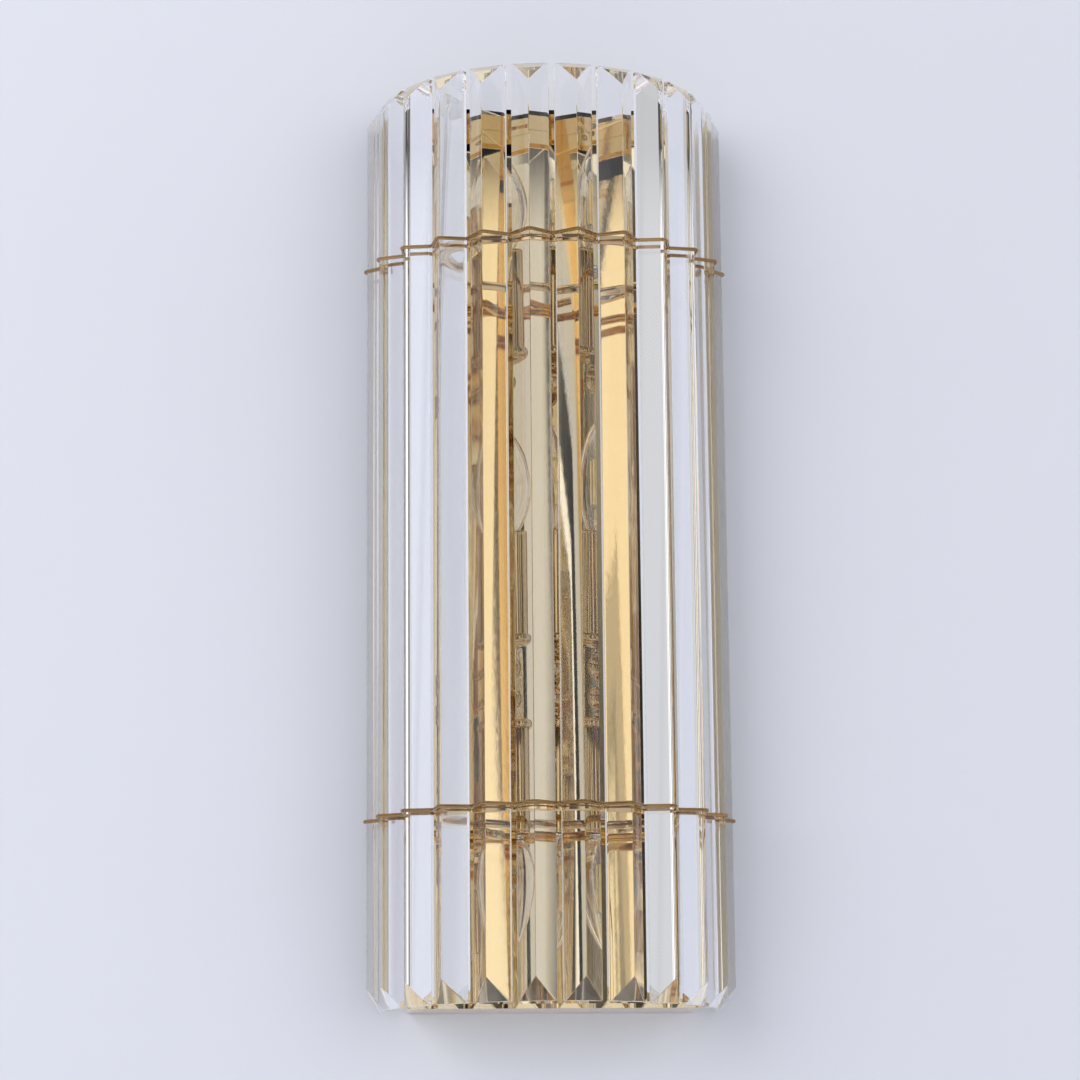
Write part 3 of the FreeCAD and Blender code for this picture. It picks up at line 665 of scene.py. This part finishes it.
def bulbFilament(lamp):
    values = filamentValues
    low, high = values["stemEnd"], values["stemEnd"] + values["rodLength"]
    outline = roundedOutline([
        (0, low, 0), (values["rodRadius"], low), (values["rodRadius"], high), (0, high, 0)],
        values["rodEdge"], looped=False)
    shape = bmesh.new()
    for step in range(values["rodCount"]):
        turn = 2 * math.pi * step / values["rodCount"]
        spot = Vector((math.cos(turn), math.sin(turn), 0)) * values["rodCircle"]
        addTurned(shape, outline, spot, (0, 0, 1), values["rodSteps"], False)
    place(shape, *lampPlace(lamp))
    finishPiece(shape, "bulbFilament" + lamp.capitalize(), phosphor, "bulb_" + lamp,
                ["bulb_filament_" + lamp], "filament")


def bulbHubs(lamp):  # a ring with a cross at each end of the filaments
    values = hubValues
    reach, thickness = filamentValues["rodCircle"], values["thickness"]
    inner, outer = reach - values["rimWidth"] / 2, reach + values["rimWidth"] / 2
    low = filamentValues["stemEnd"]
    shape = bmesh.new()
    for level in (low - values["drop"], low + filamentValues["rodLength"]):
        rim = roundedOutline([
            (inner, level), (outer, level), (outer, level + thickness),
            (inner, level + thickness)], values["edge"])
        spunOutline(shape, rim, values["steps"])
        for step in range(2):
            spoke = bmesh.ops.create_cube(shape, size=1)["verts"]
            bmesh.ops.scale(shape, vec=(2 * reach, thickness, thickness), verts=spoke)
            bmesh.ops.rotate(shape, cent=(0, 0, 0), verts=spoke,
                             matrix=Matrix.Rotation(math.pi / 2 * step, 3, "Z"))
            bmesh.ops.translate(shape, vec=(0, 0, level + thickness / 2), verts=spoke)
    place(shape, *lampPlace(lamp))
    finishPiece(shape, "bulbHub" + lamp.capitalize(), capMetal, "bulb_" + lamp,
                ["bulb_filament_" + lamp], "bulb_cap")


for lampName in lampNames:
    for makePiece in (
            lampArm, armBall, lampNipple, candleCollar, candleSleeve, lampHolder, bulbCap,
            bulbShell, bulbStem, bulbFilament, bulbHubs):
        makePiece(lampName)
print("lamps turned")

ringValues = {
    "outer": 105.6, "inner": 103.6, "height": 5.5, "legFront": -22.0, "legBack": -20.0,
    "footFront": -32.0, "bandSide": 93.99, "thickness": 2.0, "topAboveWire": 1.2,
    "tieRadius": 1.0, "tieRoot": 0.5, "tieSteps": 12, "edge": 0.3, "steps": 96,
}
chordValues = {
    "side": 92.49, "front": -40.0, "back": -38.0, "thickness": 2.0, "edge": 0.3,
}


def softBox(shape, low, high, edge):
    low, high = Vector(low), Vector(high)
    corners = bmesh.ops.create_cube(shape, size=1)["verts"]
    bmesh.ops.scale(shape, vec=high - low, verts=corners)
    bmesh.ops.translate(shape, vec=(low + high) / 2, verts=corners)
    edges = {line for corner in corners for line in corner.link_edges}
    bmesh.ops.bevel(
        shape, geom=list(edges), offset=edge, affect="EDGES", segments=2, profile=0.5,
        material=-1)


def halfRing(level):  # with a leg and a foot at each end, and a tie in each gap
    values = ringValues
    wireHeight = heightOf("front_wire_" + level)
    chordHeight = heightOf("chord_bar_" + level)
    top = wireHeight + values["topAboveWire"]
    low = top - values["height"]
    end = math.acos(-values["legBack"] / values["outer"])
    shape = bmesh.new()
    outline = roundedOutline([
        (values["inner"], low), (values["outer"], low), (values["outer"], top),
        (values["inner"], top)], values["edge"], 2)
    section = [
        shape.verts.new(polarPoint(-math.degrees(end), spot[0]) + Vector((0, 0, spot[1])))
        for spot in outline]
    face = shape.faces.new(section)
    bmesh.ops.spin(
        shape, geom=[face], cent=(0, 0, 0), axis=(0, 0, 1), angle=2 * end,
        steps=values["steps"])
    reach = math.sqrt(values["outer"] ** 2 - values["legFront"] ** 2) - values["thickness"] / 2
    footLow = chordHeight - values["height"] / 2
    for side in (-1, 1):
        for near, far, front, bottom in (
                (values["bandSide"], reach, values["legFront"], low),
                (values["bandSide"], values["bandSide"] + values["thickness"],
                 values["footFront"], footLow)):
            left, right = sorted((side * near, side * far))
            softBox(shape, (left, front, bottom), (right, values["legBack"], top), values["edge"])
    start = values["outer"] - values["tieRoot"]
    trough = wireCorners()[2].length - wireValues["thickness"] / 2  # where the wire dips
    count, pitch = crystalValues["count"], crystalValues["pitch"]
    for number in range(1, count):
        outward = polarPoint((number - count / 2) * pitch, 1)
        tie = [(0, 0), (values["tieRadius"], 0), (values["tieRadius"], trough - start),
               (0, trough - start)]
        root = outward * start + Vector((0, 0, wireHeight))
        addTurned(shape, tie, root, outward, values["tieSteps"], False)
    finishPiece(shape, "halfRing" + level.capitalize(), gold, "body", ["half_ring_" + level],
                "gold_frame")


def chordBar(level):  # bent back at each end, where a screw holds it
    values = chordValues
    height = heightOf("chord_bar_" + level)
    low, top = height - ringValues["height"] / 2, height + ringValues["height"] / 2
    side, edge = values["side"], values["edge"]
    shape = bmesh.new()
    softBox(shape, (-side, values["front"], low), (side, values["back"], top), edge)
    for end in (-1, 1):
        left, right = sorted((end * side, end * (side - values["thickness"])))
        softBox(shape, (left, values["front"], low), (right, ringValues["legBack"], top), edge)
    finishPiece(shape, "chordBar" + level.capitalize(), gold, "body", ["chord_bar_" + level],
                "gold_frame")


for wireLevel in wireLevels:
    halfRing(wireLevel)
    chordBar(wireLevel)
print("rings and bars bent")

nutValues = {
    "across": 8.0, "base": 3.0, "crown": 3.8, "seat": -10.0, "spread": 34.0,
    "heights": (-181.5, 187.5), "edge": 0.35, "domeInset": 0.3, "domeRoot": 0.5,
    "domeFoot": 0.8, "domeRings": 12, "steps": 32,
}


def capNuts():
    values = nutValues
    shape = bmesh.new()
    for height in values["heights"]:
        for side in (-1, 1):
            earlier = set(shape.verts)
            flat = bmesh.ops.create_circle(
                shape, cap_ends=True, segments=6, radius=values["across"] / math.sqrt(3))
            pulled = bmesh.ops.extrude_face_region(shape, geom=flat["verts"][0].link_faces[:])
            raised = [part for part in pulled["geom"] if isinstance(part, bmesh.types.BMVert)]
            bmesh.ops.translate(shape, vec=(0, 0, values["base"]), verts=raised)
            fresh = [vert for vert in shape.verts if vert not in earlier]
            edges = {line for vert in fresh for line in vert.link_edges}
            bmesh.ops.contextual_create(shape, geom=[line for line in edges if line.is_boundary])
            bmesh.ops.bevel(
                shape, geom=list(edges), offset=values["edge"], affect="EDGES", segments=2,
                profile=0.5, material=-1)
            radius = values["across"] / 2 - values["domeInset"]
            root, top = values["base"] - values["domeRoot"], values["base"] + values["crown"]
            foot = values["base"] + values["domeFoot"]
            dome = [(0, root), (radius, root)]
            for step in range(values["domeRings"]):
                turn = math.pi / 2 * step / values["domeRings"]
                dome.append((radius * math.cos(turn), foot + (top - foot) * math.sin(turn)))
            dome.append((0, top))
            spunOutline(shape, dome, values["steps"], False)
            fresh = [vert for vert in shape.verts if vert not in earlier]
            place(shape, (side * values["spread"], values["seat"], height), (0, -1, 0), fresh)
    finishPiece(shape, "capNuts", screwMetal, "body", ["cap_nuts"], "gold_screw")


capNuts()

screwValues = {
    "small": {"radius": 1.5, "headRadius": 2.8, "headHeight": 1.8, "pitch": 0.5},
    "earth": {"radius": 2.0, "headRadius": 3.75, "headHeight": 2.6, "pitch": 0.7},
    "dome": ((0, 1), (0.22, 0.99), (0.62, 0.91), (0.86, 0.72), (0.97, 0.5)),
    "recess": 0.62, "recessDepth": 0.6, "armWidth": 0.3, "steps": 24,
    "ringPlace": (90.49, -29.0, (-188.5, 169.5)), "ringLength": 6.0,
    "panelPlace": (33.0, -18.0, (-303.7, 287.7)), "panelLength": 2.8,
    "earthPlace": (32.0, -2.0, 55.0), "earthLength": 2.0,
}


def addScrew(shape, size, seat, direction, length):  # a domed head with a cross recess
    values = screwValues
    radius, height = size["headRadius"], size["headHeight"]
    earlier = set(shape.verts)
    outline = [(side * radius, rise * height) for side, rise in values["dome"]]
    outline += [(radius, 0.1), (radius - 0.1, 0), (size["radius"], 0)]
    level = -0.2
    while level > 0.3 - length:
        outline += [(size["radius"], level), (0.9 * size["radius"], level - size["pitch"] / 2)]
        level -= size["pitch"]
    outline += [(0.8 * size["radius"], -length), (0, -length)]
    spunOutline(shape, outline, values["steps"], False)
    fresh = [vert for vert in shape.verts if vert not in earlier]
    arms = []
    for face in {face for vert in fresh for face in vert.link_faces}:
        middle = face.calc_center_median()
        out = math.hypot(middle.x, middle.y) / radius
        across = min(abs(middle.x), abs(middle.y)) < values["armWidth"] * out * radius
        if middle.z > 0.9 * height and out < values["recess"] and (across or out < 0.2):
            arms.append(face)
    sunk = bmesh.ops.extrude_face_region(shape, geom=arms)["geom"]
    bmesh.ops.translate(
        shape, vec=(0, 0, -values["recessDepth"] * height),
        verts=[part for part in sunk if isinstance(part, bmesh.types.BMVert)])
    fresh = [vert for vert in shape.verts if vert not in earlier]
    place(shape, seat, direction, fresh)


def screws():
    values = screwValues
    shape = bmesh.new()
    x, y, heights = values["ringPlace"]
    for height in heights:
        for side in (-1, 1):
            addScrew(shape, values["small"], (side * x, y, height), (-side, 0, 0),
                     values["ringLength"])
    finishPiece(shape, "ringScrews", screwMetal, "body", ["ring_screws"], "gold_screw")
    shape = bmesh.new()
    x, y, heights = values["panelPlace"]
    for height in heights:
        for side in (-1, 1):
            addScrew(shape, values["small"], (side * x, y, height),
                     (0, 0, -math.copysign(1, height)), values["panelLength"])
    finishPiece(shape, "panelScrews", screwMetal, "body", ["panel_screws"], "gold_screw")
    shape = bmesh.new()
    addScrew(shape, values["earth"], values["earthPlace"], (0, -1, 0), values["earthLength"])
    finishPiece(shape, "earthScrew", zinc, "body", ["earth_screw"], "zinc_steel")


screws()

grommetValues = {
    "bore": 5.0, "neck": 10.0, "flange": 13.0, "plate": 2.0, "thickness": 2.5, "soft": 0.7,
    "steps": 64,
}


def grommet():
    values = grommetValues
    top = values["plate"] + values["thickness"]
    outline = roundedOutline([
        (values["bore"], 0, 0.5), (values["neck"], 0, 0.4), (values["neck"], values["plate"], 0.1),
        (values["flange"], values["plate"], 0.3), (values["flange"], top, 1.2),
        (values["bore"], top, 1.0)], values["soft"])
    turnedPiece("cableGrommet", outline, (0, 0, 0), (0, -1, 0), values["steps"],
                material=rubber, body="body", slot="rubber", replaced=["cable_grommet"])


grommet()
print("fixings made")

dress(["housing_band", "mirror_panel"], mirrorGold)
dress(["wall_bracket", "bracket_studs", "arm_nuts"], zinc)
dress(["terminal_block"], nylon)
print("construction dressed")


stageValues = {
    "wallSize": 3.2, "wallGap": 0.0006, "holeWidth": 0.180, "holeLow": -0.300,
    "holeHigh": 0.284, "floorSize": 16.0, "floorDrop": 1.25,
    "wallColour": (0.71, 0.73, 0.80), "floorColour": (0.78, 0.79, 0.83), "floorGlow": 0.22,
}


def mathNode(tree, operation, *values):
    node = tree.nodes.new("ShaderNodeMath")
    node.operation = operation
    for socket, value in zip(node.inputs, values):
        if isinstance(value, (int, float)):
            socket.default_value = value
        else:
            tree.links.new(value, socket)
    return node.outputs["Value"]


def stageMaterial(name, colour):  # clear from behind, for views from the back and from below
    material, tree, shader = newMaterial(name)
    cloud = noise(tree, objectCoordinates(tree), 1.2, 4.0)
    dark = [channel * 0.97 for channel in colour]
    tree.links.new(colourRamp(tree, cloud, dark, colour), shader.inputs["Base Color"])
    shader.inputs["Roughness"].default_value = 0.9
    shader.inputs["Specular IOR Level"].default_value = 0.2
    facing = tree.nodes.new("ShaderNodeNewGeometry")
    through = tree.nodes.new("ShaderNodeBsdfTransparent")
    choice = tree.nodes.new("ShaderNodeMixShader")
    tree.links.new(facing.outputs["Backfacing"], choice.inputs["Fac"])
    tree.links.new(shader.outputs["BSDF"], choice.inputs[1])
    tree.links.new(through.outputs["BSDF"], choice.inputs[2])
    tree.links.new(choice.outputs["Shader"], tree.nodes["Material Output"].inputs["Surface"])
    return material, tree, shader


def wallMaterial():
    return stageMaterial("wallPaint", stageValues["wallColour"])[0]


def floorMaterial():  # paler to the camera and in reflections than the lamps make it
    material, tree, shader = stageMaterial("floorPaint", stageValues["floorColour"])
    rays = tree.nodes.new("ShaderNodeLightPath")
    seen = mathNode(
        tree, "MAXIMUM", rays.outputs["Is Camera Ray"],
        mathNode(tree, "MAXIMUM", rays.outputs["Is Glossy Ray"],
                 rays.outputs["Is Transmission Ray"]))
    shader.inputs["Emission Color"].default_value = (*stageValues["floorColour"], 1)
    tree.links.new(
        mathNode(tree, "MULTIPLY", seen, stageValues["floorGlow"]),
        shader.inputs["Emission Strength"])
    return material


def finishStage(shape, name, material):
    mesh = bpy.data.meshes.new(name)
    shape.to_mesh(mesh)
    shape.free()
    plane = bpy.data.objects.new(name, mesh)
    mesh.materials.append(material)
    bpy.context.scene.collection.objects.link(plane)


def backdropWall():  # open behind the bracket, where only the back view looks
    values = stageValues
    shape = bmesh.new()
    bmesh.ops.create_grid(shape, x_segments=3, y_segments=3, size=values["wallSize"] / 2)
    edge = values["wallSize"] / 2
    for vert in shape.verts:
        if abs(vert.co.x) < 0.9 * edge:
            vert.co.x = math.copysign(values["holeWidth"] / 2, vert.co.x)
        if abs(vert.co.y) < 0.9 * edge:
            vert.co.y = values["holeHigh"] if vert.co.y > 0 else values["holeLow"]
    hole = [face for face in shape.faces if face.calc_center_median().length < 0.1]
    bmesh.ops.delete(shape, geom=hole, context="FACES_ONLY")
    turn = Matrix.Translation((0, values["wallGap"], 0)) @ Matrix.Rotation(math.pi / 2, 4, "X")
    bmesh.ops.transform(shape, matrix=turn, verts=shape.verts)
    finishStage(shape, "backdropWall", wallMaterial())


def paleFloor():
    shape = bmesh.new()
    bmesh.ops.create_grid(shape, x_segments=1, y_segments=1, size=stageValues["floorSize"] / 2)
    bmesh.ops.translate(shape, vec=(0, 0, -stageValues["floorDrop"]), verts=shape.verts)
    finishStage(shape, "paleFloor", floorMaterial())


backdropWall()
paleFloor()

lightValues = {
    "left": {"place": (-2.1, -1.5, 0.9), "aim": (0, 0, 0.0), "size": (1.6, 2.2), "power": 42},
    "right": {"place": (2.1, -1.7, 0.4), "aim": (0, 0, 0.0), "size": (1.6, 2.2), "power": 22},
}


def addLight(name, place, aim, size, power):
    lamp = bpy.data.lights.new(name, "AREA")
    lamp.shape = "RECTANGLE"
    lamp.size, lamp.size_y = size
    lamp.energy = power
    holder = bpy.data.objects.new(name, lamp)
    holder.location = place
    direction = Vector(aim) - Vector(place)
    holder.rotation_euler = direction.to_track_quat("-Z", "Y").to_euler()
    holder.visible_glossy = holder.visible_transmission = False
    bpy.context.scene.collection.objects.link(holder)


for lightName, setting in lightValues.items():
    addLight(lightName + "Light", **setting)

# Brightness of the studio round the object by bearing, 0 straight in front, to the right,
# and by rise above level. The sides and the sky are plain.
worldValues = {
    "bearings": (
        (-180, 0.66), (-66, 0.70), (-62, 0.05), (-56, 0.05), (-52, 0.75), (-43, 0.75),
        (-41, 0.02), (-36, 0.02), (-34, 1.20), (-30, 1.20), (-28.5, 0.02), (-25.5, 0.02),
        (-24, 0.80), (-20, 1.30), (-16, 1.30), (-15, 0.04), (-13.5, 0.04), (-12.5, 1.35),
        (-3, 1.35), (-1, 0.02), (3.5, 0.02), (5, 1.10), (10, 1.10), (12, 0.02), (19, 0.02),
        (20.5, 0.90), (24, 0.90), (25.5, 0.02), (32, 0.02), (36, 0.70), (100, 0.60),
        (180, 0.66)),
    "rises": ((-90, 1.0), (17.3, 1.0), (18.0, 0.06), (25, 0.06), (28, 1.0), (90, 1.0)),
    "bandShare": ((-180, 0), (-62, 0), (-56, 1), (40, 1), (50, 0), (180, 0)),
    "skyShare": ((-90, 0), (26, 0), (29, 1), (90, 1)),
    "tint": (0.98, 0.985, 1.0), "sky": (0.86, 0.82, 0.74), "backdrop": (0.80, 0.81, 0.86),
    "fill": (0.56, 0.565, 0.58),
}


def mixColour(tree, factor, first, second, blend="MIX"):
    node = tree.nodes.new("ShaderNodeMix")
    node.data_type = "RGBA"
    node.blend_type = blend
    colours = [socket for socket in node.inputs if socket.type == "RGBA"]
    for socket, value in ((node.inputs["Factor"], factor), *zip(colours, (first, second))):
        if isinstance(value, tuple):
            socket.default_value = (*value, 1)
        elif isinstance(value, float):
            socket.default_value = value
        else:
            tree.links.new(value, socket)
    return [socket for socket in node.outputs if socket.type == "RGBA"][0]


def angleRamp(tree, angle, share, stops, tint):  # stops in degrees; share 1 spans -90 to 90
    spread = mathNode(tree, "MULTIPLY_ADD", angle, share / math.pi, 0.5)
    ramp = tree.nodes.new("ShaderNodeValToRGB")
    elements = ramp.color_ramp.elements
    while len(elements) < len(stops):
        elements.new(0.5)
    for element, (degrees, level) in zip(elements, stops):
        element.position = degrees * share / 180 + 0.5
        element.color = (*[level * channel for channel in tint], 1)
    tree.links.new(spread, ramp.inputs["Fac"])
    return ramp.outputs["Color"]


def setWorld():
    values = worldValues
    world = bpy.data.worlds.new("studioWorld")
    bpy.context.scene.world = world
    world.use_nodes = True
    tree = world.node_tree
    direction = tree.nodes.new("ShaderNodeTexCoord")
    split = tree.nodes.new("ShaderNodeSeparateXYZ")
    tree.links.new(direction.outputs["Generated"], split.inputs["Vector"])
    forward = mathNode(tree, "MULTIPLY", split.outputs["Y"], -1.0)
    bearing = mathNode(tree, "ARCTAN2", split.outputs["X"], forward)
    rise = mathNode(tree, "ARCSINE", split.outputs["Z"])
    plain = (1, 1, 1)
    studio = mixColour(
        tree, angleRamp(tree, bearing, 0.5, values["bandShare"], plain),
        angleRamp(tree, bearing, 0.5, values["bearings"], values["tint"]),
        angleRamp(tree, rise, 1.0, values["rises"], plain), "MULTIPLY")
    studio = mixColour(
        tree, angleRamp(tree, rise, 1.0, values["skyShare"], plain), studio, values["sky"])
    rays = tree.nodes.new("ShaderNodeLightPath")
    seen = mixColour(tree, rays.outputs["Is Camera Ray"], studio, values["backdrop"])
    seen = mixColour(tree, rays.outputs["Is Diffuse Ray"], seen, values["fill"])
    tree.links.new(seen, tree.nodes["Background"].inputs["Color"])


setWorld()

cameraValues = {
    "place": (-0.1304, -2.2160, -0.4562), "yaw": 0.057, "pitch": 0.205, "roll": -0.009,
    "focalPixels": 3413.3, "imagePixels": 1080.0, "sensor": 36.0,
}


def addCamera():
    yaw, pitch, roll = (cameraValues[key] for key in ("yaw", "pitch", "roll"))
    forward = Vector((
        math.sin(yaw) * math.cos(pitch), math.cos(yaw) * math.cos(pitch), math.sin(pitch)))
    level = Vector((math.cos(yaw), -math.sin(yaw), 0))
    upright = level.cross(forward)
    right = math.cos(roll) * level + math.sin(roll) * upright
    up = -math.sin(roll) * level + math.cos(roll) * upright
    turn = Matrix((right, up, -forward)).transposed().to_4x4()
    data = bpy.data.cameras.new("photoCamera")
    data.sensor_width = cameraValues["sensor"]
    data.lens = cameraValues["focalPixels"] / cameraValues["imagePixels"] * cameraValues["sensor"]
    camera = bpy.data.objects.new("photoCamera", data)
    camera.matrix_world = Matrix.Translation(cameraValues["place"]) @ turn
    bpy.context.scene.collection.objects.link(camera)
    bpy.context.scene.camera = camera


addCamera()

scene = bpy.context.scene
scene.view_settings.view_transform = "Standard"
scene.cycles.max_bounces = 96
scene.cycles.transmission_bounces = 96
scene.cycles.glossy_bounces = 96
print("stage, light and camera ready")
